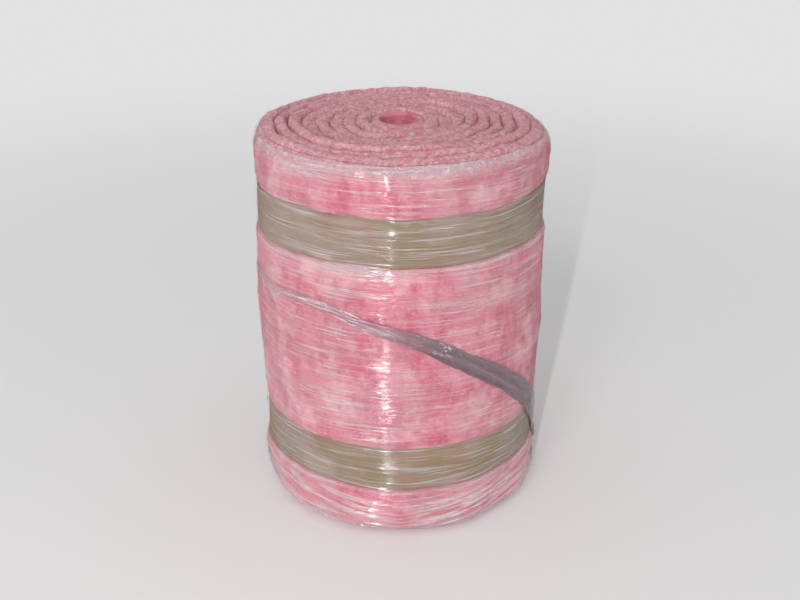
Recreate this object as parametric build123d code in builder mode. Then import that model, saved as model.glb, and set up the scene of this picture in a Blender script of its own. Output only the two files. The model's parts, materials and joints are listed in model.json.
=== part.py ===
from build123d import *
import os
from math import cos, floor, radians, sin

os.makedirs("parts", exist_ok=True)

# The roll stands on one end: Z = 0 is the floor, the Z axis runs up the middle of its eye.
# Its plain side looks to -Y, so the blanket's loose end and the paper laps lie on the +Y side.

# Wound blanket
roll_height = 840.0
roll_radius = 310.0
edge_round = 50.0           # soft outer edge of both ends
edge_sides = 4              # straight runs in that rounding
eye_radius = 38.0
eye_lip = 8.0               # bevel where the eye meets both ends

# Waist that each band pulls into the wool
band_squeeze = 4.0
band_swell = 16.0           # how soon the wool is out at its full radius again beside a band

# Turns that show on both ends
turn_pitch = 28.0           # thickness of one wound layer
seam_width = 9.0            # gap between two layers where it opens at the end
seam_depth = 8.0

# Loose outer end of the blanket: an upright step that fades round the roll
tail_angle = 118.0          # from +X towards +Y
tail_step = 12.0
tail_fade = 80.0            # degrees from the step to the full radius

# Paper bands
band_width = 100.0
band_thickness = 1.0
lower_band_rise = 122.0     # lower end to the lower band
upper_band_drop = 112.0     # upper end down to the upper band
lap_span = 24.0             # degrees of overlap where the strap is glued
lap_shift = 6.0             # the upper layer of a lap lies this much off line
lower_lap_angle = 64.0      # middle of the lap, from +X towards +Y
upper_lap_angle = 82.0

# Stretch film, all its layers as one skin
film_thickness = 0.8
film_clearance = 0.3
film_turned_sides = 2       # straight runs of each rounded edge that the film turns over

lower_band_base = lower_band_rise
upper_band_base = roll_height - upper_band_drop - band_width
seat_radius = roll_radius - band_squeeze
land_radius = roll_radius - edge_round
band_inner_layer = seat_radius + band_thickness
band_outer_layer = band_inner_layer + band_thickness
film_inner = max(roll_radius, band_outer_layer) + film_clearance


def polar(radius, angle):
    """Point in plan at a radius and an angle from +X towards +Y."""
    return (radius * cos(radians(angle)), radius * sin(radians(angle)))


def rounded_edge(reach, sides):
    """Lower rounded edge in half section, from the upright side inwards, in straight runs."""
    angles = [90 * side / edge_sides for side in range(sides + 1)]
    return [
        (land_radius + reach * cos(radians(angle)), edge_round - reach * sin(radians(angle)))
        for angle in angles
    ]


def turned_up(points):
    """The same points at the upper end."""
    return [(out, roll_height - up) for out, up in points]


def waist(base):
    """Half section of the wool past one band and its lap, from below to above it."""
    return [
        (roll_radius, base - lap_shift - band_swell),
        (seat_radius, base - lap_shift),
        (seat_radius, base + band_width),
        (roll_radius, base + band_width + band_swell),
    ]


def arc_about_axis(radius, first, last):
    """Arc in plan about the roll's axis."""
    ThreePointArc(polar(radius, first), polar(radius, (first + last) / 2), polar(radius, last))


def slope_at(radius):
    """Depth below the end face, and sine of the fall outwards, of the rounded edge at a radius."""
    lean = max(0.0, radius - land_radius) / edge_round
    return edge_round * (1 - (1 - lean**2) ** 0.5), lean


def seam_section(radius, face_height, inward):
    """Wedge that opens the seam between two layers, square to the surface at this radius."""
    drop, lean = slope_at(radius)
    rise = (1 - lean**2) ** 0.5
    clear = 2 * seam_depth
    half_mouth = seam_width / 2 * (seam_depth + clear) / seam_depth
    tip = (radius - lean * seam_depth, drop + rise * seam_depth)
    mouth = (radius + lean * clear, drop - rise * clear)
    corners = [
        tip,
        (mouth[0] + rise * half_mouth, mouth[1] + lean * half_mouth),
        (mouth[0] - rise * half_mouth, mouth[1] - lean * half_mouth),
    ]
    Polyline([(out, face_height + inward * down) for out, down in corners], close=True)


# A blanket wound on itself: one turned solid
with BuildPart() as insulation_blanket:
    lower_eye = [(eye_radius + eye_lip, 0), (eye_radius, eye_lip)]
    lower_edge = rounded_edge(edge_round, edge_sides)[::-1]
    with BuildSketch(Plane.XZ):
        with BuildLine():
            Polyline(
                lower_eye[::-1]
                + lower_edge
                + waist(lower_band_base)
                + waist(upper_band_base)
                + turned_up(lower_edge)[::-1]
                + turned_up(lower_eye),
                close=True,
            )
        make_face()
    revolve(axis=Axis.Z)

    # The loose end: a crescent is missing in front of the step
    tail_end = tail_angle + tail_fade
    clear_radius = roll_radius + tail_step
    with BuildSketch(Plane.XY):
        with BuildLine():
            ThreePointArc(
                polar(roll_radius - tail_step, tail_angle),
                polar(roll_radius - tail_step / 2, tail_angle + tail_fade / 2),
                polar(roll_radius, tail_end),
            )
            Line(polar(roll_radius, tail_end), polar(clear_radius, tail_end))
            arc_about_axis(clear_radius, tail_end, tail_angle)
            Line(polar(clear_radius, tail_angle), polar(roll_radius - tail_step, tail_angle))
        make_face()
    extrude(amount=roll_height, mode=Mode.SUBTRACT)

    # The turns: half circles about two centres in turn, each half a layer wider than the last,
    # so that they join into one spiral that runs out at the loose end
    first_seam = eye_radius + turn_pitch
    last_seam = roll_radius - tail_step - turn_pitch / 2
    half_turns = floor((last_seam - first_seam) / (turn_pitch / 2)) + 1
    for side in (1, -1):
        towards = polar(side, tail_angle)
        centre = polar(-side * turn_pitch / 4, tail_angle)
        half_plane = Plane(
            origin=(*centre, 0), x_dir=(*towards, 0), z_dir=(towards[1], -towards[0], 0)
        )
        with BuildSketch(half_plane):
            for half_turn in range(0 if side == 1 else 1, half_turns, 2):
                seam_radius = first_seam + half_turn * turn_pitch / 2
                for face_height, inward in ((0, 1), (roll_height, -1)):
                    with BuildLine():
                        seam_section(seam_radius, face_height, inward)
                    make_face()
        revolve(axis=Axis((*centre, 0), (0, 0, 1)), revolution_arc=180, mode=Mode.SUBTRACT)
insulation_blanket.part.label = "insulation_blanket"


def paper_band(base, lap_angle):
    """Kraft strap glued round the roll, with the upper layer of its lap a little off line."""
    with BuildPart() as band:
        with BuildSketch(Plane.XY.offset(base)):
            Circle(band_inner_layer)
            Circle(seat_radius, mode=Mode.SUBTRACT)
        extrude(amount=band_width)
        lap_start = lap_angle - lap_span / 2
        lap_end = lap_angle + lap_span / 2
        with BuildSketch(Plane.XY.offset(base - lap_shift)):
            with BuildLine():
                arc_about_axis(band_inner_layer, lap_start, lap_end)
                Line(polar(band_inner_layer, lap_end), polar(band_outer_layer, lap_end))
                arc_about_axis(band_outer_layer, lap_end, lap_start)
                Line(polar(band_outer_layer, lap_start), polar(band_inner_layer, lap_start))
            make_face()
        extrude(amount=band_width)
    return band


lower_band = paper_band(lower_band_base, lower_lap_angle)
lower_band.part.label = "lower_band"

upper_band = paper_band(upper_band_base, upper_lap_angle)
upper_band.part.label = "upper_band"

# Film wound round the side and turned over both rounded edges
with BuildPart() as stretch_film:
    inner_edge = rounded_edge(film_inner - land_radius, film_turned_sides)[::-1]
    outer_edge = rounded_edge(film_inner + film_thickness - land_radius, film_turned_sides)
    with BuildSketch(Plane.XZ):
        with BuildLine():
            Polyline(
                inner_edge + turned_up(inner_edge)[::-1] + turned_up(outer_edge)[::-1] + outer_edge,
                close=True,
            )
        make_face()
    revolve(axis=Axis.Z)
stretch_film.part.label = "stretch_film"

export_step(insulation_blanket.part, "parts/insulation_blanket.step")
export_step(lower_band.part, "parts/lower_band.step")
export_step(upper_band.part, "parts/upper_band.step")
export_step(stretch_film.part, "parts/stretch_film.step")
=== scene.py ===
"""A roll of glass wool insulation stood on its end, with two paper bands and stretch film."""

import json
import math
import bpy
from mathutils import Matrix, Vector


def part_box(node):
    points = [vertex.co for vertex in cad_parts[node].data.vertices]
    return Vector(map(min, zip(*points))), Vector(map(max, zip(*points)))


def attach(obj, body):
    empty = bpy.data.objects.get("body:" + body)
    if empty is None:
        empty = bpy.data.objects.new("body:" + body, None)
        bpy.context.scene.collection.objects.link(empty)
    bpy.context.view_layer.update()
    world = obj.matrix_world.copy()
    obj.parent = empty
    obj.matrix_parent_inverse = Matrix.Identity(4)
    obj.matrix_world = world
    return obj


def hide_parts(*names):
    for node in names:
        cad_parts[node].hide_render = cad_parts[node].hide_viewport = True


bl_info = {
    "name": "Insulation Roll",
    "version": (1, 0, 0),
    "blender": (4, 5, 0),
    "location": "View3D > Sidebar > Insulation Roll",
    "description": "Makes a wound glass wool roll with paper bands, stretch film and a plain studio",
    "category": "Object",
}

from types import SimpleNamespace

import bpy
from bpy.props import FloatProperty, FloatVectorProperty, PointerProperty
from mathutils import Vector

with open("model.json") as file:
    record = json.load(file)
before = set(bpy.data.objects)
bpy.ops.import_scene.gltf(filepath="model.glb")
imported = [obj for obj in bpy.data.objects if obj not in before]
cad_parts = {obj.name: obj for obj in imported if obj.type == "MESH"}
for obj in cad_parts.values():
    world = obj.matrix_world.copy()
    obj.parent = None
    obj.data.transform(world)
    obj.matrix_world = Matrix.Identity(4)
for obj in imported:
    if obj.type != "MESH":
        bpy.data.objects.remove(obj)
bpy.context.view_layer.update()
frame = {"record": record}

ROLL_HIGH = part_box("insulation_blanket")[1]
LOWER_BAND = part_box("lower_band")
UPPER_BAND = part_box("upper_band")
CORE_BORE = next(m for m in frame["record"]["mounts"] if m["name"] == "core_bore")
BODY = "root"
QUARTER = math.pi / 2
ROUND = 2 * math.pi

LAP_SHIFT = 0.006           # each band's outer layer lies this much lower, so its box starts lower
FIRST_SEAM = 0.059          # radius where the spiral seam starts, at the loose end's angle
TURNS = 8                   # the seam runs out at the loose end after this many turns
SIDE_REACH = 0.012          # the side wall starts this far below the shoulder's rounding
FIRST_LAYER = -3            # the rows of an end start this many layers inside the first seam
LAYERS = 14                 # and cover this many, past the eye and the shoulder
CROWDING = 0.75             # how much closer the rows of an end stand at a seam, from 0 to 1
PRESSED_STRAY = 0.002       # the roll's weight presses its lower end flat, so the layers there
PRESSED_FRAY = 0.001        # stray less, and the wool is less ragged, than on the open end
FIBRES_FROM = 0.935         # share of the roll's height above which loose fibres grow
PAPER_ROOM = 0.0015         # room for a band in the wool, beyond its squeeze
FILM_SQUEEZE = 0.0018       # how far the film is drawn in over a band
FOLLOWED = 0.8              # share of the loose end's step that tight paper and film follow
WELD = 2e-5                 # points closer than this become one
FILM_BUMP = 0.006           # height of the film's finest pleats
RIM_CIRCLE = 0.3            # radius of the circle that the film's rim patterns are read from
GRAIN = 24                  # fixed seed that every pattern's own seed is counted from

# Columns of points round the roll or along the strand, and rows across the piece
BLANKET_GRID = {"columns": 288}
UPPER_END_ROWS = 12         # to each layer
LOWER_END_ROWS = 4
SIDE_ROWS = 100
BORE_ROWS = 8
BAND_GRID = {"columns": 320, "rows": 16}
FILM_GRID = {"columns": 160, "rows": 292}
STRAND_GRID = {"columns": 460, "rows": 36}

# Studio
KEY_PLACE = (-2.9, -6.6, 6.2)
KEY_SIZE = (2.0, 2.0)
GLARE_PLACE = (-1.62, -8.4, 3.2)
GLARE_SIZE = (0.1, 6.0)     # tall and narrow, so that the film shows it as one upright line
LAMPS_AIM = (0.0, 0.0, 0.4)
FLOOR_RADIUS = 30.0
FLOOR_FADE = (1.0, 4.5)     # distances from the roll between which the floor turns into backdrop


def screen(red, green, blue):
    """Scene colour of a surface from the 0 to 255 values that it shows under plain white light."""
    parts = [value / 255 for value in (red, green, blue)]
    return tuple(v / 12.92 if v <= 0.04045 else ((v + 0.055) / 1.055) ** 2.4 for v in parts)


def size_property(name, description, default, **more):
    return FloatProperty(
        name=name, description=description, default=default, precision=4, unit="LENGTH", **more
    )


def colour_property(name, description, default):
    return FloatVectorProperty(
        name=name, description=description, default=default, subtype="COLOR", min=0, max=1
    )


def angle_property(name, description, degrees):
    return FloatProperty(
        name=name, description=description, default=math.radians(degrees), unit="ROTATION"
    )


def number_property(name, description, default):
    return FloatProperty(name=name, description=description, default=default, min=0.0)


class Field:
    """A number that varies over a mesh or surface. Plain arithmetic on it adds math nodes."""

    def __init__(self, nodes, socket):
        self.nodes = nodes
        self.socket = socket

    def __add__(self, other):
        return self.nodes.math("ADD", self, other)

    def __sub__(self, other):
        return self.nodes.math("SUBTRACT", self, other)

    def __rsub__(self, other):
        return self.nodes.math("SUBTRACT", other, self)

    def __mul__(self, other):
        return self.nodes.math("MULTIPLY", self, other)

    def __truediv__(self, other):
        return self.nodes.math("DIVIDE", self, other)

    def __gt__(self, other):
        return self.nodes.math("GREATER_THAN", self, other)

    def __pow__(self, other):
        return self.nodes.math("POWER", self, other)

    def __neg__(self):
        return self * -1

    def __abs__(self):
        return self.nodes.math("ABSOLUTE", self)

    __radd__ = __add__
    __rmul__ = __mul__


class Nodes:
    """Adds nodes to one tree, of geometry or of a material, and links them."""

    def __init__(self, tree):
        self.tree = tree

    def feed(self, socket, value):
        """Links a field or socket to an input, or writes a plain value on it."""
        if isinstance(value, Field):
            value = value.socket
        if isinstance(value, bpy.types.NodeSocket):
            self.tree.links.new(value, socket)
        else:
            socket.default_value = value

    def add(self, kind, *values, inputs=None, **settings):
        """New node: values fill its first inputs in order, and inputs names others."""
        node = self.tree.nodes.new(kind)
        for name, value in settings.items():
            setattr(node, name, value)
        for socket, value in zip(node.inputs, values):
            self.feed(socket, value)
        for name, value in (inputs or {}).items():
            self.feed(node.inputs[name], value)
        return node

    def made(self, kind, *values, **more):
        """First output of a new node."""
        return self.add(kind, *values, **more).outputs[0]

    def field(self, socket):
        return Field(self, socket)

    def math(self, operation, *values):
        return self.field(self.made("ShaderNodeMath", *values, operation=operation))

    def sine(self, angle):
        return self.math("SINE", angle)

    def cosine(self, angle):
        return self.math("COSINE", angle)

    def floor(self, value):
        return self.math("FLOOR", value)

    def kept(self, name):
        """The three numbers that a mesh keeps at each point under this name."""
        return self.split(self.add("ShaderNodeAttribute", attribute_name=name).outputs["Vector"])

    def least(self, one, other):
        return self.math("MINIMUM", one, other)

    def most(self, one, other):
        return self.math("MAXIMUM", one, other)

    def limit(self, value, low, high):
        return self.most(self.least(value, high), low)

    def ramp(self, value, start, end, low=0.0, high=1.0):
        """Smooth rise from low to high as the value goes from start to end."""
        values = (value, start, end, low, high)
        made = self.made("ShaderNodeMapRange", *values, interpolation_type="SMOOTHSTEP")
        return self.field(made)

    def vector(self, x=0.0, y=0.0, z=0.0):
        return self.made("ShaderNodeCombineXYZ", x, y, z)

    def split(self, vector):
        node = self.add("ShaderNodeSeparateXYZ", vector)
        return [self.field(output) for output in node.outputs]

    def vector_math(self, operation, *values):
        return self.made("ShaderNodeVectorMath", *values, operation=operation)

    def scaled(self, vector, factor):
        inputs = {"Scale": factor}
        return self.made("ShaderNodeVectorMath", vector, inputs=inputs, operation="SCALE")

    def noise(self, vector, size, detail=2.0, rough=0.5, seed=0, twist=0.0, colour=False):
        """Noise from 0 to 1 whose lumps measure about the given size in metres."""
        shift = (GRAIN + 7.31 * seed, 11.17 * seed + 0.4, GRAIN - 5.23 * seed + 0.3)
        place = self.vector_math("MULTIPLY_ADD", vector, (1 / size,) * 3, shift)
        wanted = {
            "Vector": place,
            "Scale": 1.0,
            "Detail": float(detail),
            "Roughness": rough,
            "Distortion": float(twist),
        }
        node = self.add("ShaderNodeTexNoise", inputs=wanted)
        return node.outputs[1] if colour else self.field(node.outputs[0])

    def uneven(self, vector, size, depth, **more):
        """Noise about 0 of this depth, whose lumps measure about the given size in metres."""
        return (self.noise(vector, size, **more) - 0.5) * depth

    def mixed(self, factor, one, other):
        """Colour between two colours."""
        node = self.tree.nodes.new("ShaderNodeMix")
        node.data_type = "RGBA"
        colours = [item for item in node.inputs if item.type == "RGBA"]
        self.feed(node.inputs[0], factor)
        for socket, value in zip(colours, (one, other)):
            if not isinstance(value, bpy.types.NodeSocket):
                value = (*value, 1.0)
            self.feed(socket, value)
        return next(item for item in node.outputs if item.type == "RGBA")


def label(name):
    return name.replace("_", " ").title()


def named_inputs(tree, values):
    """Gives a tree an input for each named value and returns them as fields."""
    for name, value in values.items():
        kind = "Int" if isinstance(value, int) else "Float"
        kind = "NodeSocketVector" if isinstance(value, tuple) else "NodeSocket" + kind
        socket = tree.interface.new_socket(label(name), in_out="INPUT", socket_type=kind)
        socket.default_value = value
    nodes = Nodes(tree)
    outputs = nodes.add("NodeGroupInput").outputs
    fields = {}
    for name, value in values.items():
        output = outputs[label(name)]
        fields[name] = output if isinstance(value, tuple) else nodes.field(output)
    return nodes, SimpleNamespace(**fields)


def geometry_tree(name, sizes, start=False):
    """New Geometry Nodes tree with a named input for each size, and those inputs as fields."""
    tree = bpy.data.node_groups.new(name, "GeometryNodeTree")
    tree.is_modifier = True
    tree.interface.new_socket("Geometry", in_out="OUTPUT", socket_type="NodeSocketGeometry")
    if start:
        tree.interface.new_socket("Geometry", in_out="INPUT", socket_type="NodeSocketGeometry")
    nodes, size = named_inputs(tree, sizes)
    if start:
        size.mesh = nodes.add("NodeGroupInput").outputs["Geometry"]
    return nodes, size


def shader_group(name, values, outputs):
    """New shader node group with named inputs and outputs. Each output is a number."""
    tree = bpy.data.node_groups.new(name, "ShaderNodeTree")
    for output in outputs:
        tree.interface.new_socket(output, in_out="OUTPUT", socket_type="NodeSocketFloat")
    return named_inputs(tree, values)


def placed(nodes, group, **values):
    """Group node in a material with its own values. Returns its outputs as fields."""
    node = nodes.add("ShaderNodeGroup", node_tree=group)
    for name, value in values.items():
        nodes.feed(node.inputs[label(name)], value)
    return [nodes.field(output) for output in node.outputs]


def finish_tree(nodes, mesh, material):
    """Ends a tree in Realize Instances and Set Material, and returns its nodes."""
    smooth = nodes.made("GeometryNodeSetShadeSmooth", mesh)
    last = nodes.made("GeometryNodeRealizeInstances", smooth)
    last = nodes.made("GeometryNodeSetMaterial", last, inputs={"Material": material})
    nodes.add("NodeGroupOutput", last)
    return nodes


def grown(name, nodes, sizes, start=None):
    """Object with the mesh that a tree makes, at these sizes."""
    maker = bpy.data.objects.new(name, start or bpy.data.meshes.new(name))
    bpy.context.scene.collection.objects.link(maker)
    modifier = maker.modifiers.new("Shape", "NODES")
    modifier.node_group = nodes.tree
    labels = {label(key): value for key, value in sizes.items()}
    for item in nodes.tree.interface.items_tree:
        if item.item_type == "SOCKET" and item.in_out == "INPUT" and item.name in labels:
            modifier[item.identifier] = labels[item.name]
    made_plain(maker)
    return maker


def made_plain(piece):
    """Turns the result of a piece's modifiers into its plain mesh."""
    evaluated = piece.evaluated_get(bpy.context.evaluated_depsgraph_get())
    mesh = bpy.data.meshes.new_from_object(evaluated)
    mesh.name = piece.name
    material = mesh.materials[-1]
    mesh.materials.clear()
    mesh.materials.append(material)
    piece.modifiers.clear()
    piece.data = mesh


def grid(nodes, columns, rows):
    """Grid mesh with so many columns and rows, and the column and row of each point."""
    mesh = nodes.made("GeometryNodeMeshGrid", 1.0, 1.0, columns + 1, rows + 1)
    across, along, _ = nodes.split(current_place(nodes))
    column = nodes.math("ROUND", (across + 0.5) * columns)
    row = nodes.math("ROUND", (along + 0.5) * rows)
    return mesh, column, row


def stored(nodes, mesh, name, vector):
    """Keeps a vector at each point of the mesh for its material."""
    inputs = {"Geometry": mesh, "Name": name, "Value": vector}
    return nodes.made("GeometryNodeStoreNamedAttribute", inputs=inputs, data_type="FLOAT_VECTOR")


def moved(nodes, mesh, position):
    return nodes.made("GeometryNodeSetPosition", mesh, inputs={"Position": position})


def flipped(nodes, mesh):
    return nodes.made("GeometryNodeFlipFaces", mesh)


def welded(nodes, mesh, distance=WELD):
    return nodes.made("GeometryNodeMergeByDistance", mesh, inputs={"Distance": distance})


def current_place(nodes):
    return nodes.made("GeometryNodeInputPosition")


def around(nodes, radius, angle, height):
    """Point at a radius and an angle round the roll's axis."""
    x = radius * nodes.cosine(angle)
    y = radius * nodes.sine(angle)
    return nodes.vector(x, y, height)


def outline(nodes, size, run):
    """Half section of the roll by the run along it from the axis: radius, height and slope angle."""
    land = size.roll_radius - size.edge_round
    arc = size.edge_round * QUARTER
    bend = nodes.limit(run - land, 0.0, arc) / size.edge_round
    lip_start = size.eye_radius + size.eye_lip
    lip_arc = size.eye_lip * QUARTER
    lip = nodes.limit(lip_start - run, 0.0, lip_arc) / size.eye_lip
    radius = (
        nodes.limit(run, lip_start, land)
        + size.edge_round * nodes.sine(bend)
        - size.eye_lip * nodes.sine(lip)
    )
    down = (
        size.edge_round * (1 - nodes.cosine(bend))
        + nodes.most(run - land - arc, 0.0)
        + size.eye_lip * (1 - nodes.cosine(lip))
        + nodes.most(lip_start - run - lip_arc, 0.0)
    )
    return radius, size.roll_height - down, bend - lip


def band_zone(nodes, size, height):
    """1 where a band pulls the roll in, falling to 0 a little above and below it."""
    zones = []
    for base in (size.lower_band, size.upper_band):
        rise = nodes.ramp(height, base - size.band_swell, base)
        fall = nodes.ramp(height, base + size.band_width, base + size.band_width + size.band_swell)
        zones.append(rise * (1 - fall))
    return zones[0] + zones[1]


def swelling(nodes, size, height):
    """Bulge of the wool between and beyond its bands, in metres."""
    middle = (size.lower_band + size.upper_band + size.band_width) / 2
    spread = (size.upper_band - size.lower_band) / 2
    offset = (height - middle) / spread
    return size.swell * (1 - nodes.least(offset * offset, 1.0))


def softened(nodes, size, mesh):
    """Moves a mesh by the slow unevenness that all the layers of the roll share."""
    position = current_place(nodes)
    _, _, height = nodes.split(position)
    shift = nodes.noise(position, 0.16, detail=1.5, seed=1, colour=True)
    shift = nodes.vector_math("SUBTRACT", shift, (0.5, 0.5, 0.5))
    across, along, up = nodes.split(nodes.scaled(shift, size.softness))
    lifted = nodes.ramp(height, size.roll_height * 0.4, size.roll_height)
    shift = nodes.vector(across, along, up * lifted * 0.6)
    return moved(nodes, mesh, nodes.vector_math("ADD", position, shift))


def tail_drop(nodes, size, turn):
    """How far the surface past the loose end lies below the full radius, from 1 down to 0."""
    return nodes.most(1 - turn * ROUND / size.tail_fade, 0.0)


def picked(settings, names):
    """Values of the settings with these names, which are written in one string."""
    return {name: getattr(settings, name) for name in names.split()}


def shared_sizes(roll):
    """Inputs that the trees of all the wound pieces share."""
    return picked(
        roll,
        "roll_height roll_radius edge_round eye_radius eye_lip turn_pitch seam_depth seam_width "
        "tail_angle tail_step tail_fade softness swell band_squeeze band_swell band_width "
        "lower_band upper_band lump_depth crease_depth fold_height stray fray drift",
    )


def turn_and_wall(nodes, size, column):
    """Share of the turn from the loose end, and 1 in the last column, which is its cut wall."""
    turn = nodes.least(column / size.columns, 1.0)
    return turn, column > size.columns + 0.5


def lowered(nodes, size, radius, turn, wall):
    """Radius with the step at the loose end taken off."""
    last_seam = FIRST_SEAM + size.turn_pitch * TURNS
    outer_share = nodes.limit((radius - last_seam) / (size.roll_radius - last_seam), 0.0, 1.0)
    soft_corner = nodes.ramp(turn, 0.994, 1.0) * 0.25
    return radius - size.tail_step * outer_share * (
        tail_drop(nodes, size, turn) + nodes.most(wall, soft_corner)
    )


def end_face(nodes, size, rows_per_turn, upper):
    """One end of the roll, from inside the eye to below the shoulder, in rows along the seam."""
    mesh, column, row = grid(nodes, size.columns + 1, LAYERS * rows_per_turn)
    turn, wall = turn_and_wall(nodes, size, column)
    layer = row / rows_per_turn
    share = nodes.math("FRACT", layer)
    crowded = share - CROWDING / ROUND * nodes.sine(share * ROUND)
    place = nodes.floor(layer) + crowded + FIRST_LAYER + turn
    side_start = size.roll_radius + size.edge_round * (QUARTER - 1) + SIDE_REACH
    run = nodes.limit(
        FIRST_SEAM + size.turn_pitch * place, size.eye_radius - size.eye_lip, side_start
    )
    radius, height, slope = outline(nodes, size, run)
    angle = size.tail_angle + turn * ROUND
    ideal = around(nodes, radius, angle, height)

    # Distance to the nearest seam, which runs out after its last turn
    place = (run - FIRST_SEAM) / size.turn_pitch - turn
    last = nodes.floor(TURNS + 0.001 - turn)
    near = nodes.least(nodes.math("ROUND", place), last)
    away = abs(place - near) * size.turn_pitch
    wound = near + turn
    face = 1 - nodes.ramp(run, size.roll_radius - 0.02, size.roll_radius + 0.025)
    inner = nodes.ramp(run, size.eye_radius + 0.002, size.eye_radius + size.eye_lip + 0.004)
    seam = nodes.ramp(wound, -0.75, -0.4) * inner * face

    # Grooves of uneven depth and width between layers of uneven height
    loose = inner * (1 - nodes.ramp(run, size.roll_radius - 0.06, size.roll_radius - 0.03))
    open_share = nodes.ramp(nodes.noise(ideal, 0.06, seed=2), 0.36, 0.66)
    width = size.seam_width * (0.35 + 0.5 * open_share)
    groove = size.seam_depth * (0.25 + 1.2 * open_share)
    sunk = groove * nodes.math("EXPONENT", -((away / width) ** 2))
    crown = 0.0022 * (1 - nodes.ramp(away, 0.0, 0.012))
    layer_turn = nodes.least(nodes.floor(place), last) + turn
    stray = size.stray if upper else PRESSED_STRAY
    fray = size.fray if upper else PRESSED_FRAY
    telescoped = nodes.uneven(nodes.vector(layer_turn), 0.45, stray, detail=1, seed=3)
    telescoped = telescoped * nodes.ramp(away, 0.0, 0.003) * loose
    ragged = nodes.uneven(ideal, 0.024, fray, detail=3, rough=0.6, seed=4) * inner * face
    lift = telescoped + ragged - (sunk + crown) * seam
    if not upper:
        lift = nodes.least(lift, 0.0)

    drift = nodes.uneven(ideal, 0.1, size.drift, detail=2, seed=7) * loose
    radius = lowered(nodes, size, radius, turn, wall) + lift * nodes.sine(slope) + drift
    height = height + lift * nodes.cosine(slope)
    if not upper:
        height = size.roll_height - height
    phase = place * ROUND
    wave = nodes.vector(nodes.cosine(phase), nodes.sine(phase), nodes.most(face * inner, 0.0))
    mesh = stored(nodes, mesh, "layer_wave", wave)
    mesh = moved(nodes, mesh, around(nodes, radius, angle, height))
    return flipped(nodes, mesh) if upper else mesh


def side_wall(nodes, size, rows):
    """Side of the roll between its shoulders."""
    mesh, column, row = grid(nodes, size.columns + 1, rows)
    turn, wall = turn_and_wall(nodes, size, column)
    reach = size.edge_round + SIDE_REACH
    height = size.roll_height - reach - (size.roll_height - 2 * reach) * (row / rows)
    angle = size.tail_angle + turn * ROUND
    radius = lowered(nodes, size, size.roll_radius, turn, wall)

    # The cut edge of the loose end wavers, and its step shows the inside of the wool, with painted
    # shade along it
    step = nodes.most(1 - nodes.ramp(turn, 0.0, 0.004), wall)
    mesh = stored(nodes, mesh, "layer_wave", nodes.vector(step * 1.7, 0.0, step))
    beside = nodes.most(1 - nodes.ramp(turn, 0.0, 0.02), nodes.ramp(turn, 0.98, 1.0))
    middle = nodes.ramp(abs(row / rows - 0.5), 0.5, 0.4)
    upright = nodes.vector(z=height)
    waver = nodes.uneven(upright, 0.09, 0.06, detail=3, rough=0.6, seed=9)
    angle = angle + waver * beside * middle
    return flipped(nodes, moved(nodes, mesh, around(nodes, radius, angle, height)))


def bore_wall(nodes, size, rows):
    """Straight wall of the eye, between the two lips."""
    mesh, column, row = grid(nodes, size.columns + 1, rows)
    turn, _ = turn_and_wall(nodes, size, column)
    lip_arc = size.eye_lip * QUARTER
    reach = size.eye_lip * 3 - lip_arc
    height = reach + (size.roll_height - 2 * reach) * (row / rows)
    angle = size.tail_angle + turn * ROUND
    return flipped(nodes, moved(nodes, mesh, around(nodes, size.eye_radius, angle, height)))


def lying_folds(nodes, position, lower_band):
    """Slanting folds below the lower band: their height from 0 to 1, and 1 where they lie."""
    x, y, z = nodes.split(position)
    sideways = abs(x)
    fanned = nodes.vector(x, y, (z - sideways * 0.16) * 18)
    off_crest = abs(nodes.noise(fanned, 0.2, detail=1.5, seed=8) - 0.5)
    folds = nodes.ramp(off_crest, 0.15, 0.0)
    low = 1 - nodes.ramp(z, lower_band - 0.03, lower_band - 0.01)
    return folds, low * nodes.ramp(sideways, 0.01, 0.09)


def lumped(nodes, size, position, zone):
    """Lumps and lying creases, which are small under the bands, and the lowest folds."""
    lumps = nodes.uneven(position, 0.05, size.lump_depth, detail=1.5, seed=5)
    stretched = nodes.vector_math("MULTIPLY", position, (1.0, 1.0, 6.0))
    creases = nodes.uneven(stretched, 0.12, size.crease_depth, detail=2, seed=6)
    folds, low = lying_folds(nodes, position, size.lower_band)
    return (lumps + creases) * (1 - zone * 0.85) + folds * low * size.fold_height


def pushed_out(nodes, size, mesh, squeeze):
    """Swells and lumps the side of a mesh, and pulls it in at the bands by this squeeze."""
    position = current_place(nodes)
    x, y, height = nodes.split(position)
    radius = (x * x + y * y) ** 0.5
    outer = nodes.ramp(radius, size.roll_radius - 0.05, size.roll_radius - 0.014)
    zone = band_zone(nodes, size, height)
    push = lumped(nodes, size, position, zone) + swelling(nodes, size, height)
    factor = 1 + (push - zone * squeeze) * outer / radius
    return moved(nodes, mesh, nodes.vector(x * factor, y * factor, height))


def blanket_tree(material, sizes):
    nodes, size = geometry_tree("Wound blanket", sizes)
    walls = [
        end_face(nodes, size, UPPER_END_ROWS, True),
        end_face(nodes, size, LOWER_END_ROWS, False),
        side_wall(nodes, size, SIDE_ROWS),
        bore_wall(nodes, size, BORE_ROWS),
    ]
    joined = nodes.add("GeometryNodeJoinGeometry")
    for wall in walls:
        nodes.feed(joined.inputs[0], wall)
    mesh = welded(nodes, joined.outputs[0])
    mesh = pushed_out(nodes, size, mesh, size.band_squeeze + PAPER_ROOM)
    return finish_tree(nodes, softened(nodes, size, mesh), material)


def bridged_drop(nodes, size, angle):
    """Depth to which a tight strap or film dips past the step at the loose end."""
    turn = nodes.math("FRACT", (angle - size.tail_angle) / ROUND + 8)
    share = nodes.ramp(turn, 0.0, 0.05) * tail_drop(nodes, size, turn)
    return size.tail_step * FOLLOWED * share


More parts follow.
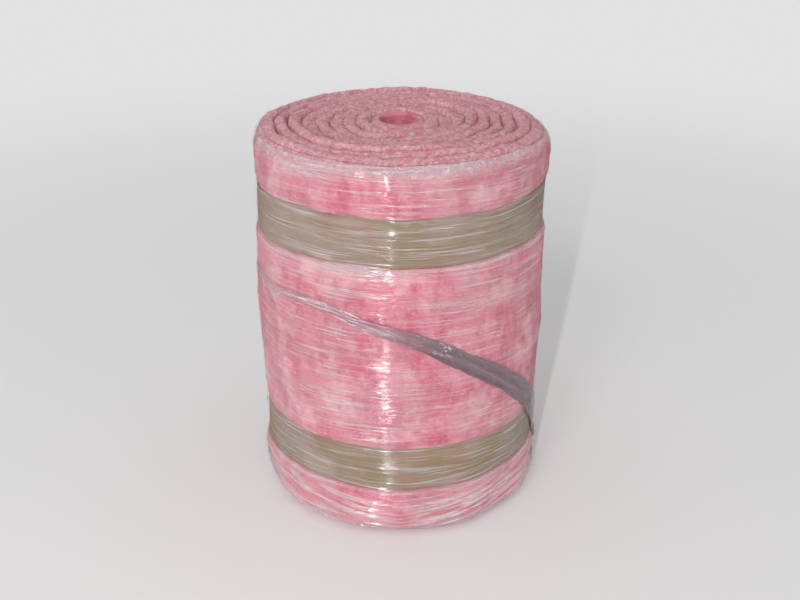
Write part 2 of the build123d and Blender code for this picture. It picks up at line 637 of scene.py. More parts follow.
def band_tree(material, sizes):
    """Strap wound once round the roll, with its last stretch over its first."""
    nodes, size = geometry_tree("Paper band", sizes)
    mesh, column, row = grid(nodes, size.columns, size.rows)
    lap = size.lap_span
    travel = column / size.columns * (lap + ROUND)
    angle = size.lap_angle - lap / 2 + travel
    across = row / size.rows
    over = nodes.ramp(travel, ROUND - 0.05, ROUND - 0.01)
    radius = size.roll_radius - size.band_squeeze + size.thickness * (0.5 + 1.05 * over)
    radius = radius - bridged_drop(nodes, size, angle)
    skew = LAP_SHIFT * nodes.ramp(travel, math.pi, lap + ROUND)
    height = size.base + size.band_width * across - skew
    flat = around(nodes, radius, angle, height)
    buckle = nodes.uneven(flat, 0.05, size.buckle, detail=2, seed=21)
    upright = nodes.vector_math("MULTIPLY", flat, (1.0, 1.0, 0.2))
    crease = nodes.ramp(nodes.noise(upright, 0.02, detail=1, seed=22), 0.62, 0.8) * size.crease
    near_edge = abs(across - 0.5) * 2
    curl = nodes.ramp(near_edge, 0.75, 1.0) * (nodes.noise(flat, 0.12, seed=23) - 0.4) * size.curl
    wander = nodes.uneven(nodes.vector(angle), 0.8, size.wander, seed=24)
    radius = radius + buckle + crease + nodes.most(curl, 0.0)
    mesh = moved(nodes, mesh, around(nodes, radius, angle, height + wander))
    return finish_tree(nodes, softened(nodes, size, mesh), material)


def with_ledge_highlight(nodes, size, mesh):
    """Marks the ledge that the film spans just below each band, where extra haze in the film paints a
    highlight.
    """
    _, _, height = nodes.split(current_place(nodes))
    ledge = 0.0
    for base in (size.lower_band, size.upper_band):
        rise = nodes.ramp(height, base - 0.012, base - 0.007)
        ledge = ledge + rise - nodes.ramp(height, base - 0.006, base - 0.001)
    return stored(nodes, mesh, "ledge", nodes.vector(ledge))


def film_tree(material, sizes):
    """Film drawn tight round the side and turned over both shoulders, with fine pleats."""
    nodes, size = geometry_tree("Stretch film", sizes)
    mesh, column, row = grid(nodes, size.columns, size.rows)
    angle = column / size.columns * ROUND
    travel = row / size.rows * 2 - 1
    upper = travel > 0.0
    off_middle = abs(travel)
    land = size.roll_radius - size.edge_round
    middle_run = land + size.edge_round * (QUARTER - 1) + size.roll_height / 2
    circle = around(nodes, RIM_CIRCLE, angle, travel * 0.1)
    rim_wave = nodes.uneven(circle, 0.07, 0.02, detail=3, seed=31)
    rim_run = land + size.edge_round * size.turned_over + rim_wave
    run = middle_run - (middle_run - rim_run) * off_middle
    radius, height, slope = outline(nodes, size, run)
    height = height * upper + (size.roll_height - height) * (1 - upper)
    outer = nodes.ramp(radius, size.roll_radius - 0.027, size.roll_radius)
    radius = radius - bridged_drop(nodes, size, angle) * outer
    ideal = around(nodes, radius, angle, height)

    # Pleats lie level round the roll, a few of them slanting, and gather towards the rims
    x, y, z = nodes.split(ideal)
    level = nodes.vector(x, y, z * 28)
    slanted = nodes.vector(x, y, (z + x * 0.09) * 14)
    pleats = nodes.ramp(nodes.noise(level, 0.2, detail=2, seed=32), 0.45, 0.7)
    slants = nodes.ramp(nodes.noise(slanted, 0.2, detail=1.5, seed=33), 0.55, 0.75)
    rim = nodes.ramp(off_middle, 0.9, 1.0)
    gathers = nodes.noise(around(nodes, RIM_CIRCLE, angle, 0.0), 0.016, detail=1, seed=34)
    lift = size.gap + pleats * size.pleat + slants * size.slanting_pleat
    lift = lift + nodes.ramp(gathers, 0.4, 0.7) * rim * size.gather
    radius = radius + lift * nodes.sine(slope)
    rise = lift * nodes.cosine(slope)
    height = height + rise * (upper * 2 - 1)
    mesh = welded(nodes, moved(nodes, mesh, around(nodes, radius, angle, height)))
    mesh = pushed_out(nodes, size, with_ledge_highlight(nodes, size, mesh), FILM_SQUEEZE)
    return finish_tree(nodes, softened(nodes, size, mesh), material)


def strand_tree(material, sizes):
    """Film drawn together into a rope that opens into a flat ribbon as it comes down the roll."""
    nodes, size = geometry_tree("Film strand", sizes)
    mesh, column, row = grid(nodes, size.columns, size.rows)
    share = column / size.columns
    section = row / size.rows * ROUND
    angle = size.start_angle + (size.end_angle - size.start_angle) * share
    travel = (angle - size.front_angle) * size.roll_radius
    bent = nodes.most(travel, size.bend_start)
    bow = bent * bent + 2 * size.bend_start * (travel - bent)
    height = size.front_height - travel * size.fall - size.fall_growth * bow
    across_angle = nodes.math("ARCTANGENT", size.fall + size.fall_growth * 2 * bent)

    # A twisted rope at first, then a ribbon with lengthwise folds
    flat = nodes.ramp(share, 0.3, 0.76)
    taper = (nodes.ramp(share, 0.0, 0.05) * (1 - nodes.ramp(share, 0.93, 1.0))) ** 0.5
    lobes = 1 + 0.25 * (1 - flat) * nodes.cosine(section * 3 + share * size.twists)
    width = size.rope_width + (size.ribbon_width - size.rope_width) * flat
    thick = size.rope_thickness + (size.ribbon_thickness - size.rope_thickness) * flat
    edge = nodes.cosine(section)
    knots = nodes.noise(nodes.vector(travel), 0.05, detail=2, seed=62)
    across = edge * width * 0.5 * taper * lobes * (0.75 + 0.5 * knots)
    out = nodes.sine(section) * thick * 0.5 * taper * lobes
    folded = nodes.noise(nodes.vector(travel * 5, edge * (1.2 + 2.5 * flat)), 1.0, seed=61)
    out = out + (folded - 0.4) * size.strand_fold * taper

    turned = angle + across * nodes.sine(across_angle) / size.roll_radius
    height = height + across * nodes.cosine(across_angle)
    below = nodes.limit(1 - height / size.edge_round, 0.0, 1.0)
    tucked = size.edge_round * (1 - (1 - below * below) ** 0.5)
    radius = size.roll_radius + size.lie + out - tucked
    mesh = stored(nodes, mesh, "strand_place", nodes.vector(travel, edge, flat))
    mesh = welded(nodes, moved(nodes, mesh, around(nodes, radius, turned, height)), WELD / 4)
    mesh = pushed_out(nodes, size, mesh, FILM_SQUEEZE)
    return finish_tree(nodes, flipped(nodes, softened(nodes, size, mesh)), material)


def wisp(nodes, size, bend, kink):
    """One bent fibre, thick in the middle and fine at its tip."""
    line = nodes.made("GeometryNodeCurvePrimitiveLine")
    line = nodes.made("GeometryNodeResampleCurve", line, inputs={"Count": 6})
    along = nodes.field(nodes.made("GeometryNodeSplineParameter"))
    sideways = bend * along * along + kink * nodes.sine(along * 7)
    rise = along * (1 - along * 0.4)
    place = nodes.scaled(nodes.vector(sideways, kink * along, rise), size.fibre_length)
    line = moved(nodes, line, place)
    triangle = {"Resolution": 3, "Radius": 1.0}
    section = nodes.made("GeometryNodeCurvePrimitiveCircle", inputs=triangle)
    taper = {"Scale": size.fibre_thickness * (1.05 - along), "Fill Caps": True}
    fibre = nodes.made("GeometryNodeCurveToMesh", line, section, inputs=taper)
    return nodes.made("GeometryNodeGeometryToInstance", fibre)


def fuzz_tree(material, sizes):
    """Loose fibres that stand off the open end, the longest of them at the seams."""
    nodes, size = geometry_tree("Loose fibres", sizes, start=True)
    wave = nodes.made("GeometryNodeInputNamedAttribute", "layer_wave", data_type="FLOAT_VECTOR")
    seam, _, cut = nodes.split(wave)
    _, _, height = nodes.split(current_place(nodes))
    upper = height > size.roll_height * FIBRES_FROM
    near_seam = 0.35 + 0.65 * nodes.ramp(seam, 0.4, 1.0)
    spread = {
        "Mesh": size.mesh,
        "Density": size.fibre_density,
        "Selection": upper * (cut > 0.3),
        "Seed": size.seed,
    }
    points = nodes.made("GeometryNodeDistributePointsOnFaces", inputs=spread)
    kinds = nodes.add("GeometryNodeJoinGeometry")
    for bend, kink in ((0.9, 0.05), (0.4, -0.16), (1.4, 0.1), (-0.6, 0.2)):
        nodes.feed(kinds.inputs[0], wisp(nodes, size, bend, kink))
    lean = ((-1.3, -1.3, 0.0), (1.3, 1.3, 6.3))
    turned = nodes.made("FunctionNodeRandomValue", *lean, data_type="FLOAT_VECTOR")
    long = nodes.add("FunctionNodeRandomValue", data_type="FLOAT", inputs={"Seed": 5})
    scale = (0.35 + nodes.field(long.outputs[1]) * 0.9) * near_seam
    placing = {
        "Instance": kinds.outputs[0],
        "Pick Instance": True,
        "Rotation": turned,
        "Scale": nodes.vector(scale, scale, scale),
    }
    fibres = nodes.made("GeometryNodeInstanceOnPoints", points, inputs=placing)
    return finish_tree(nodes, fibres, material)


def material_nodes(name, finish):
    """New material with its Principled shader, whose constant inputs are the finish."""
    material = bpy.data.materials.new(name)
    material.use_nodes = True
    material.node_tree.nodes.clear()
    nodes = Nodes(material.node_tree)
    shader = nodes.add("ShaderNodeBsdfPrincipled", inputs=finish)
    nodes.add("ShaderNodeOutputMaterial", shader.outputs[0])
    coordinates = nodes.add("ShaderNodeTexCoord").outputs["Object"]
    return material, nodes, shader, coordinates


def bumped(nodes, shader, height, depth):
    """Feeds a height in 0 to 1 to the shader's normal, at a depth in metres."""
    bump = nodes.made("ShaderNodeBump", inputs={"Height": height, "Distance": depth})
    nodes.feed(shader.inputs["Normal"], bump)


def wool_material(roll, drawn):
    """Matted glass fibre: cloudy pink on the side, and lines along each layer on the ends."""
    finish = {
        "Roughness": 0.95,
        "Specular IOR Level": 0.15,
        "Sheen Weight": 0.2,
        "Sheen Roughness": 0.5,
    }
    material, nodes, shader, place = material_nodes("Glass wool", finish)
    wave_x, wave_y, cut = nodes.kept("layer_wave")
    x, y, z = nodes.split(place)
    main, deep, pale = (roll.wool_colour, roll.wool_deep, roll.wool_pale)
    clouds = nodes.noise(nodes.vector(x, y, z * 0.6), 0.07, detail=5, rough=0.62, seed=11)
    smear = nodes.noise(nodes.vector(x, y, z * 0.45), 0.024, detail=4, rough=0.6, seed=12)
    streak, crease = placed(nodes, drawn, place=place, length=0.16, slant=-0.04)
    fibres = nodes.noise(nodes.vector(x, y, z * 1.6), 0.007, detail=4, rough=0.7, seed=14, twist=0.6)

    side = nodes.mixed(nodes.ramp(clouds * 0.55 + smear * 0.45, 0.44, 0.58), main, deep)
    faded = nodes.ramp(nodes.noise(place, 0.085, detail=5, rough=0.65, seed=13), 0.49, 0.67)
    folds, low = lying_folds(nodes, place, roll.lower_band)
    side = nodes.mixed(faded * (0.6 - low * 0.35), side, pale)
    # Painted shade: darker in the low parts of the crease pattern that the bump also draws
    side = nodes.mixed(nodes.ramp(crease, 0.48, 0.34) * 0.35, side, deep)
    side = nodes.mixed(streak * 0.22, side, pale)
    # Painted light: the zone below the lower band a little paler, a painted highlight on the crests of
    # its slanting folds and painted shade in their troughs
    side = nodes.mixed((0.12 + nodes.ramp(folds, 0.4, 0.95) * 0.65) * low, side, pale)
    side = nodes.mixed(nodes.ramp(folds, 0.25, 0.0) * low * 0.35, side, deep)

    phase = nodes.math("ARCTAN2", wave_y, wave_x)
    laid = nodes.vector(phase * 0.02, x * 0.3, y * 0.3)
    lines = nodes.noise(laid, 0.012, detail=5, rough=0.65, seed=15)
    tufts = nodes.noise(place, 0.011, detail=5, rough=0.7, seed=16, twist=1.2)
    end = nodes.mixed(nodes.ramp(lines, 0.24, 0.42), deep, main)
    end = nodes.mixed(nodes.ramp(tufts, 0.4, 0.6) * 0.9, end, pale)
    # Painted shade deep in the seams between layers, and along the step at the loose end
    gap = nodes.ramp(wave_x, 0.93, 1.0) * 0.6
    end = nodes.mixed(gap, end, roll.seam_colour)
    colour = nodes.mixed(cut, side, end)
    colour = nodes.mixed(nodes.ramp(fibres, 0.5, 0.72) * 0.4, colour, pale)
    nodes.feed(shader.inputs["Base Color"], colour)
    height = fibres * 0.3 + tufts * (0.3 + cut * 0.5) + lines * cut * 0.7
    height = height + crease * (1 - cut) * 0.3
    bumped(nodes, shader, height, 0.007)
    return material


def drawn_film_group():
    """Drawn film: long straight streaks and a few slanting ones, as a mask and a height."""
    nodes, value = shader_group(
        "Drawn film", {"place": (0.0, 0.0, 0.0), "length": 0.25, "slant": 0.08}, ("Mask", "Height")
    )
    x, y, z = nodes.split(value.place)
    x = x / value.length
    y = y / value.length
    fanned = z - abs(x) * value.length * 0.13 * (1 - nodes.ramp(z, 0.08, 0.16))
    fine = nodes.noise(nodes.vector(x, y, fanned * 230), 1.0, detail=1.5, rough=0.55, seed=41)
    broad = nodes.noise(nodes.vector(x * 0.7, y * 0.7, fanned * 80), 1.0, detail=2, seed=42)
    tilted = (z + x * value.length * value.slant) * 150
    folds = nodes.noise(nodes.vector(x * 1.2, y * 1.2, tilted), 1.0, detail=1, seed=43)
    fold = nodes.ramp(abs(folds - 0.5), 0.03, 0.0)
    patchy = nodes.ramp(nodes.noise(value.place, 0.11, detail=2, seed=40), 0.4, 0.6)
    lines = nodes.ramp(fine, 0.55, 0.66) * (0.3 + 0.7 * patchy)
    mask = lines * 0.85 + nodes.ramp(broad, 0.54, 0.7) * 0.25 + fold * patchy * 0.4
    height = fine * 0.4 + broad * 0.4 + fold * 0.2
    nodes.add("NodeGroupOutput", nodes.least(mask, 1.0), height)
    return nodes.tree


def glossy(skins):
    """Gloss of many skins of film on each other, stronger than one skin has."""
    return {
        "Roughness": 0.09,
        "IOR": 1.5 + 0.5 * skins,
        "Specular IOR Level": 0.5 + 0.5 * skins,
        "Coat Weight": skins,
        "Coat Roughness": 0.075,
        "Coat IOR": 1.8,
    }


def film_material(roll, film, drawn):
    """Clear glossy film, whiter where its pleats lie over each other and at its rims."""
    finish = glossy(skins=1.0) | {"Base Color": (*film.film_colour, 1.0)}
    material, nodes, shader, place = material_nodes("Stretch film", finish)
    mask, height = placed(nodes, drawn, place=place, length=0.15, slant=0.1)
    folds, low = lying_folds(nodes, place, roll.lower_band)
    _, _, z = nodes.split(place)
    clouds = nodes.ramp(nodes.noise(place, 0.13, detail=4, rough=0.6, seed=44), 0.35, 0.65)
    facing = nodes.field(nodes.add("ShaderNodeLayerWeight", 0.5).outputs["Facing"])
    ledge, _, _ = nodes.kept("ledge")
    # The ledge below each band gets extra cover as a painted highlight
    haze = film.haze * (0.3 + 1.4 * clouds) + ledge * (0.1 + 0.35 * clouds)
    shoulder = nodes.ramp(z, film.rim_height, film.rim_height + 0.03)
    crumple = nodes.noise(place, 0.012, detail=3, rough=0.65, seed=46, twist=1.0)
    haze = haze + shoulder * (0.1 + nodes.ramp(crumple, 0.5, 0.68) * 0.45)
    haze = haze + nodes.ramp(folds, 0.6, 1.0) * low * (0.15 + clouds * 0.35)
    cover = nodes.least(haze + mask * film.streaks, 0.9) * (1 - facing ** 4 * 0.85)
    nodes.feed(shader.inputs["Alpha"], cover)
    lapped = z * (film.pleat_lean / FILM_BUMP)
    bumped(nodes, shader, height * (1 - shoulder) + crumple * shoulder - lapped, FILM_BUMP)
    return material


def strand_material(film):
    """The same film gathered: clear with painted highlights on its ridges as a rope, greyer and closer
    as a ribbon, with painted shade in its folds.
    """
    finish = glossy(skins=0.2) | {"Roughness": 0.28}
    material, nodes, shader, _ = material_nodes("Gathered film", finish)
    travel, edge, flat = nodes.kept("strand_place")
    laid = nodes.vector(travel * 5, edge * (1.5 + flat * 0.9))
    ridges = nodes.noise(laid, 1.0, detail=2, rough=0.6, seed=45, twist=0.4)
    crossed = nodes.vector(travel * 95, edge * 4)
    crumple = nodes.noise(crossed, 1.0, detail=3, seed=47, twist=0.8)
    close = nodes.ramp(travel, -0.13, 0.1)
    drawn_out = nodes.vector(travel * 18 - edge, edge * 3.5)
    threads = nodes.noise(drawn_out, 1.0, detail=1, seed=48)
    # Painted highlights: glints on the ridges, threads and crumples, strongest at the knot and the end
    painted_glints = nodes.ramp(ridges, 0.54, 0.66) * (0.6 - 0.5 * close)
    painted_glints = painted_glints + nodes.ramp(threads, 0.57, 0.63) * (1 - close)
    off_knot = abs(travel - film.knot_place)
    gathered = nodes.most(nodes.ramp(off_knot, 0.03, 0.01), nodes.ramp(travel, 0.36, 0.44))
    gathered = nodes.most(1 - close, gathered)
    painted_glints = painted_glints + nodes.ramp(crumple, 0.57, 0.68) * (0.1 + 0.7 * gathered)
    lower_edge = nodes.ramp(edge, -0.7, -0.95)
    # Painted shade in the valleys between the ridges and along the ribbon's lower edge
    fold_shade = nodes.ramp(ridges, 0.5, 0.38) * (0.15 + 0.25 * close) + lower_edge * close * 0.5
    colour = nodes.mixed(close, film.rope_colour, film.gathered_colour)
    colour = nodes.mixed(fold_shade, colour, film.shaded_colour)
    colour = nodes.mixed(nodes.least(painted_glints, 1.0), colour, film.film_colour)
    nodes.feed(shader.inputs["Base Color"], colour)
    thinner = nodes.ramp(travel, -0.3, -0.15, low=0.5) - nodes.ramp(travel, 0.42, 0.55, high=0.5)
    cover = (0.2 + 0.26 * close + 0.45 * painted_glints + 0.25 * fold_shade) * thinner
    nodes.feed(shader.inputs["Alpha"], nodes.least(cover, 1.0))
    bumped(nodes, shader, ridges * 0.7 + crumple * 0.3, 0.008)
    return material


def fibre_material(roll):
    """Single glass fibres, paler than the wool they stand on."""
    material, nodes, shader, place = material_nodes("Loose fibre", {"Roughness": 0.6})
    clouds = nodes.ramp(nodes.noise(place, 0.03, detail=2, seed=17), 0.4, 0.6)
    colour = nodes.mixed(clouds, roll.wool_colour, roll.wool_pale)
    nodes.feed(shader.inputs["Base Color"], colour)
    return material


def paper_material(bands):
    """Kraft paper: olive tan, with long fibres and faint bands of colour."""
    material, nodes, shader, place = material_nodes("Kraft paper", {})
    x, y, z = nodes.split(place)
    level = nodes.noise(nodes.vector(x, y, z * 32), 0.16, detail=3, rough=0.6, seed=51)
    patches = nodes.noise(nodes.vector(x, y, z * 0.35), 0.06, detail=3, seed=52)
    flecks = nodes.noise(place, 0.003, detail=3, rough=0.7, seed=53)
    colour = nodes.mixed(nodes.ramp(patches, 0.35, 0.65), bands.paper_colour, bands.paper_warm)
    colour = nodes.mixed(nodes.ramp(level, 0.45, 0.7) * 0.5, colour, bands.paper_light)
    colour = nodes.mixed(nodes.ramp(flecks, 0.6, 0.8) * 0.3, colour, bands.paper_warm)
    nodes.feed(shader.inputs["Base Color"], colour)
    nodes.feed(shader.inputs["Roughness"], 0.7 + 0.2 * patches)
    bumped(nodes, shader, flecks * 0.5 + level * 0.5, 0.0008)
    return material


class RollSettings(bpy.types.PropertyGroup):
    """Sizes and colours of the wound wool."""

    roll_height: size_property("Height", "Width of the blanket, which stands upright", ROLL_HIGH.z)
    roll_radius: size_property("Radius", "Outer radius of the roll", ROLL_HIGH.x)
    edge_round: size_property("Shoulder", "Rounding of both outer edges", 0.05)
    eye_radius: size_property("Eye", "Radius of the hole", CORE_BORE["dims"]["r_mm"] / 1000)
    eye_lip: size_property("Eye lip", "Rounding where the eye meets the ends", 0.008)
    turn_pitch: size_property("Layer", "Thickness of one wound layer", 0.028)
    seam_depth: size_property("Seam depth", "How deep the seam opens between layers", 0.013)
    seam_width: size_property("Seam width", "How wide the seam opens between layers", 0.0052)
    tail_angle: angle_property("Loose end", "Where the loose end lies", 118)
    tail_step: size_property("Step", "Height of the step at the loose end", 0.012)
    tail_fade: angle_property("Step fade", "Angle over which the step fades", 80)
    softness: size_property("Softness", "Slow unevenness of the whole roll", 0.02)
    swell: size_property("Swell", "Bulge of the wool between its bands", 0.005)
    lump_depth: size_property("Lumps", "Depth of the lumps on the side", 0.0045)
    crease_depth: size_property("Creases", "Depth of the lying creases on the side", 0.0055)
    fold_height: size_property("Folds", "Height of the slanting folds under the lower band", 0.0045)
    stray: size_property("Stray", "How far the layers stand in and out on the open end", 0.026)
    fray: size_property("Fray", "Depth of the ragged wool on the open end", 0.01)
    drift: size_property("Drift", "How far the turns wander from an even spiral", 0.022)
    band_squeeze: size_property("Squeeze", "How far the bands pull the wool in", 0.004)
    band_swell: size_property("Swell height", "How soon the wool is out again beside a band", 0.011)
    band_width: size_property(
        "Band width", "Width of the paper bands", UPPER_BAND[1].z - UPPER_BAND[0].z - LAP_SHIFT
    )
    lower_band: size_property(
        "Lower band", "Height of the lower band's lower edge", LOWER_BAND[0].z + LAP_SHIFT
    )
    upper_band: size_property(
        "Upper band", "Height of the upper band's lower edge", UPPER_BAND[0].z + LAP_SHIFT
    )
    fibre_length: size_property("Fibres", "Length of the loose fibres on the open end", 0.017)
    fibre_thickness: size_property("Fibre", "Thickness of one loose fibre", 0.0003)
    fibre_density: number_property("Fibre density", "Loose fibres to a square metre", 9000.0)
    wool_colour: colour_property("Wool", "Main colour of the wool", screen(221, 134, 150))
    wool_deep: colour_property("Deep wool", "Its deeper patches", screen(203, 88, 113))
    wool_pale: colour_property("Pale wool", "Its palest fibres", screen(246, 199, 204))
    # Painted shade deep in the gaps between layers
    seam_colour: colour_property("Seam", "Wool deep in the gap between two layers", screen(150, 66, 92))


class BandSettings(bpy.types.PropertyGroup):
    """Paper bands."""

    thickness: size_property("Paper", "Thickness of the paper", 0.001)
    buckle: size_property("Buckle", "Depth of the paper's slow buckles", 0.0022)
    crease: size_property("Crease", "Height of its upright creases", 0.0012)
    curl: size_property("Curl", "How far its edges curl outwards", 0.003)
    wander: size_property("Wander", "How far a band strays from level", 0.005)
    lap_span: angle_property("Lap", "Overlap where the strap is glued", 24)
    lower_lap: angle_property("Lower lap", "Middle of the lower lap", 64)
    upper_lap: angle_property("Upper lap", "Middle of the upper lap", 82)
    paper_colour: colour_property("Paper", "Main colour of the paper", screen(133, 117, 89))
    paper_warm: colour_property("Warm paper", "Its warmer patches", screen(141, 113, 88))
    paper_light: colour_property("Light paper", "Its lighter fibres", screen(164, 148, 114))


class FilmSettings(bpy.types.PropertyGroup):
    """Stretch film."""

    gap: size_property("Gap", "Distance of the film from what it covers", 0.0012)
    thickness: size_property("Film", "Thickness of all its layers", 0.0006)
    turned_over: number_property("Turned over", "Slope of the shoulder that the film reaches", 0.8)
    pleat_lean: number_property("Pleat lean", "Slope by which the film's laps look upwards", 0.41)
    pleat: size_property("Pleats", "Height of the level pleats", 0.001)
    slanting_pleat: size_property("Slanting pleats", "Height of the slanting pleats", 0.0014)
    gather: size_property("Gathers", "Height of the gathers at the film's rims", 0.004)
    haze: number_property("Haze", "Cover of the plain film", 0.07)
    streaks: number_property("Streaks", "Cover added by a pleat", 0.3)
    rim_height: size_property("Rim", "Height above which the film is crumpled", 0.795)
    film_colour: colour_property("Film", "Colour of the film", screen(242, 224, 230))
    rope_colour: colour_property("Rope film", "Colour of the rope", screen(196, 166, 174))
    gathered_colour: colour_property("Gathered film", "Colour of the ribbon", screen(137, 117, 125))
    shaded_colour: colour_property("Shaded film", "Colour in the strand's folds", screen(84, 71, 78))
    start_angle: angle_property("Strand start", "Where the strand leaves the film", -166)
    end_angle: angle_property("Strand end", "Where the strand ends under the shoulder", 8.5)
    front_angle: angle_property("Strand front", "Where its height is measured", -94)
    front_height: size_property("Strand height", "Height of the strand there", 0.497)
    fall: number_property("Fall", "Slope of the strand there", 0.37)
    fall_growth: number_property("Fall growth", "How fast the slope grows, to a metre", 0.85)
    bend_start: size_property("Bend start", "How far past the front the slope starts to grow", -0.2)
    twists: number_property("Twists", "Turns of the rope about itself, in radians", 26.0)
    lie: size_property("Lie", "Distance of the strand's middle from the roll", 0.0035)
    rope_width: size_property("Rope", "Width of the strand where it is a rope", 0.021)
    knot_place: size_property("Knot", "Distance past the strand's front to a crumpled spot", 0.117)
    rope_thickness: size_property("Rope thickness", "Thickness of the rope", 0.009)
    ribbon_width: size_property("Ribbon", "Width of the strand where it is open", 0.05)
    ribbon_thickness: size_property("Ribbon thickness", "Thickness of the ribbon", 0.004)
    strand_fold: size_property("Strand folds", "Height of the strand's lengthwise folds", 0.007)


class StageSettings(bpy.types.PropertyGroup):
    """Camera, lamps and floor."""

    camera_distance: size_property("Distance", "Level distance from the axis to the camera", 2.14)
    camera_height: size_property("Camera height", "Height of the camera above the floor", 1.417)
    camera_side: size_property("Camera side", "How far right of the axis the camera stands", 0.02)
    lens: number_property("Lens", "Focal length in millimetres", 47.0)
    key_power: number_property("Key", "Watts of the soft lamp", 100.0)
    glare_power: number_property("Glare", "Watts of the narrow lamp", 400.0)
    sky: number_property("Sky", "Even light from all round", 0.55)
    floor_shade: number_property("Floor", "Shade of the floor", 0.9)
    backdrop: number_property("Backdrop", "Brightness behind the floor", 0.76)


class ROLL_OT_blanket(bpy.types.Operator):
    """Make the wound wool blanket"""

    bl_idname = "insulation_roll.blanket"
    bl_label = "Blanket"

    def execute(self, context):
        roll = context.scene.insulation_roll
        sizes = shared_sizes(roll) | BLANKET_GRID
        wool = wool_material(roll, drawn_film_group())
        blanket = grown("wool_blanket", blanket_tree(wool, sizes), sizes)
        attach(blanket, BODY)
        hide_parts("insulation_blanket")
        return {"FINISHED"}


def thickened(piece, thickness):
    """Gives a sheet its thickness, half to each side."""
    wall = piece.modifiers.new("Thickness", "SOLIDIFY")
    wall.thickness = thickness
    wall.offset = 0.0
    made_plain(piece)


class ROLL_OT_bands(bpy.types.Operator):
    """Make both paper bands"""

    bl_idname = "insulation_roll.bands"
    bl_label = "Paper bands"

    def execute(self, context):
        roll = context.scene.insulation_roll
        bands = context.scene.insulation_bands
        material = paper_material(bands)
        straps = {
            "lower_band": (roll.lower_band, bands.lower_lap),
            "upper_band": (roll.upper_band, bands.upper_lap),
        }
        for node, (base, lap_angle) in straps.items():
            paper_sizes = picked(bands, "lap_span thickness buckle crease curl wander")
            places = {"base": base, "lap_angle": lap_angle}
            sizes = shared_sizes(roll) | paper_sizes | places | BAND_GRID
            band = grown("kraft_" + node, band_tree(material, sizes), sizes)
            thickened(band, bands.thickness * 0.8)
            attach(band, BODY)
            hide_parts(node)
        return {"FINISHED"}


class ROLL_OT_film(bpy.types.Operator):
    """Make the stretch film round the side"""

    bl_idname = "insulation_roll.film"
    bl_label = "Stretch film"

    def execute(self, context):
        roll = context.scene.insulation_roll
        film = context.scene.insulation_film
        film_sizes = picked(film, "gap turned_over pleat slanting_pleat gather")
        sizes = shared_sizes(roll) | film_sizes | FILM_GRID
        material = film_material(roll, film, bpy.data.node_groups["Drawn film"])
        wrap = grown("film_wrap", film_tree(material, sizes), sizes)
        thickened(wrap, film.thickness)
        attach(wrap, BODY)
        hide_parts("stretch_film")
        return {"FINISHED"}


class ROLL_OT_strand(bpy.types.Operator):
    """Make the film strand that crosses the front"""

    bl_idname = "insulation_roll.strand"
    bl_label = "Film strand"

    def execute(self, context):
        roll = context.scene.insulation_roll
        film = context.scene.insulation_film
        strand_sizes = picked(
            film,
            "start_angle end_angle front_angle front_height fall fall_growth bend_start twists lie "
            "rope_width rope_thickness ribbon_width ribbon_thickness strand_fold",
        )
        sizes = shared_sizes(roll) | strand_sizes | STRAND_GRID
        strand = grown("film_strand", strand_tree(strand_material(film), sizes), sizes)
        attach(strand, BODY)
        return {"FINISHED"}


class ROLL_OT_fuzz(bpy.types.Operator):
    """Make the loose fibres on the open end"""

    bl_idname = "insulation_roll.fuzz"
    bl_label = "Loose fibres"

    def execute(self, context):
        roll = context.scene.insulation_roll
        sizes = picked(roll, "roll_height fibre_length fibre_thickness fibre_density")
        sizes["seed"] = GRAIN
        start = bpy.data.objects["wool_blanket"].data.copy()
        fuzz = grown("loose_fibres", fuzz_tree(fibre_material(roll), sizes), sizes, start)
        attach(fuzz, BODY)
        return {"FINISHED"}


def floor_material(stage):
    """Pale floor whose far part the camera sees as the plain backdrop."""
    finish = {"Emission Strength": 1.0, "Roughness": 1.0, "Specular IOR Level": 0.0}
    material, nodes, shader, place = material_nodes("Floor", finish)
    x, y, _ = nodes.split(place)
    far = nodes.ramp((x * x + y * y) ** 0.5, *FLOOR_FADE)
    far = far * nodes.field(nodes.add("ShaderNodeLightPath").outputs["Is Camera Ray"])
    pale = (stage.floor_shade,) * 3
    backdrop = (stage.backdrop,) * 3
    nodes.feed(shader.inputs["Base Color"], nodes.mixed(far, pale, (0.0, 0.0, 0.0)))
    nodes.feed(shader.inputs["Emission Color"], nodes.mixed(far, (0.0, 0.0, 0.0), backdrop))
    return material


def lamp(name, place, power, size):
    """Flat lamp of this width and height that looks at the roll."""
    light = bpy.data.lights.new(name, "AREA")
    light.shape = "RECTANGLE"
    light.size, light.size_y = size
    light.energy = power
    item = bpy.data.objects.new(name, light)
    item.location = place
    aim = Vector(LAMPS_AIM) - Vector(place)
    item.rotation_euler = aim.to_track_quat("-Z", "Y").to_euler()
    bpy.context.scene.collection.objects.link(item)


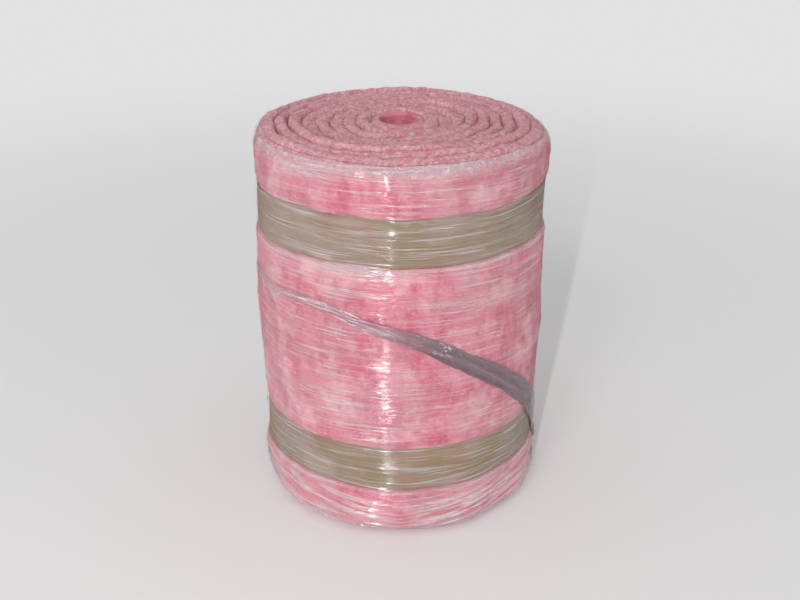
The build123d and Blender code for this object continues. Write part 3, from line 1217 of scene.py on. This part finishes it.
class ROLL_OT_stage(bpy.types.Operator):
    """Make the floor, the lamps and the camera"""

    bl_idname = "insulation_roll.stage"
    bl_label = "Stage"

    def execute(self, context):
        stage = context.scene.insulation_stage
        roll = context.scene.insulation_roll
        scene = context.scene
        middle = Vector((0.0, 0.0, roll.roll_height / 2))
        camera = bpy.data.objects.new("Camera", bpy.data.cameras.new("Camera"))
        camera.location = (stage.camera_side, -stage.camera_distance, stage.camera_height)
        camera.rotation_euler = (middle - camera.location).to_track_quat("-Z", "Y").to_euler()
        camera.data.lens = stage.lens
        scene.collection.objects.link(camera)
        scene.camera = camera
        bpy.ops.mesh.primitive_circle_add(vertices=128, radius=FLOOR_RADIUS, fill_type="NGON")
        floor = context.object
        floor.name = "floor"
        floor.data.materials.append(floor_material(stage))
        lamp("Key", KEY_PLACE, stage.key_power, KEY_SIZE)
        lamp("Glare", GLARE_PLACE, stage.glare_power, GLARE_SIZE)
        world = bpy.data.worlds.new("Studio")
        world.use_nodes = True
        sky = Nodes(world.node_tree)
        rays = sky.add("ShaderNodeLightPath").outputs
        seen = sky.most(sky.field(rays["Is Camera Ray"]), sky.field(rays["Is Glossy Ray"]))
        background = world.node_tree.nodes["Background"]
        background.inputs["Color"].default_value = (1, 1, 1, 1)
        sky.feed(background.inputs["Strength"], sky.ramp(seen, 0.0, 1.0, stage.sky, stage.backdrop))
        scene.world = world
        scene.view_settings.view_transform = "Standard"
        return {"FINISHED"}


OPERATORS = (
    ROLL_OT_stage,
    ROLL_OT_blanket,
    ROLL_OT_bands,
    ROLL_OT_film,
    ROLL_OT_strand,
    ROLL_OT_fuzz,
)


class ROLL_PT_pieces(bpy.types.Panel):
    """Lists what makes the stage and each piece of the roll"""

    bl_idname = "ROLL_PT_pieces"
    bl_label = "Insulation Roll"
    bl_space_type = "VIEW_3D"
    bl_region_type = "UI"
    bl_category = "Insulation Roll"

    def draw(self, context):
        for item in OPERATORS:
            self.layout.operator(item.bl_idname)


CLASSES = (RollSettings, BandSettings, FilmSettings, StageSettings, *OPERATORS, ROLL_PT_pieces)


def register():
    for item in CLASSES:
        bpy.utils.register_class(item)
    bpy.types.Scene.insulation_roll = PointerProperty(type=RollSettings)
    bpy.types.Scene.insulation_bands = PointerProperty(type=BandSettings)
    bpy.types.Scene.insulation_film = PointerProperty(type=FilmSettings)
    bpy.types.Scene.insulation_stage = PointerProperty(type=StageSettings)


def unregister():
    del bpy.types.Scene.insulation_stage
    del bpy.types.Scene.insulation_film
    del bpy.types.Scene.insulation_bands
    del bpy.types.Scene.insulation_roll
    for item in reversed(CLASSES):
        bpy.utils.unregister_class(item)


def main():
    register()
    bpy.ops.insulation_roll.stage()
    bpy.ops.insulation_roll.blanket()
    bpy.ops.insulation_roll.bands()
    bpy.ops.insulation_roll.film()
    bpy.ops.insulation_roll.strand()
    bpy.ops.insulation_roll.fuzz()
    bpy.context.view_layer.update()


if __name__ == "__main__":
    main()
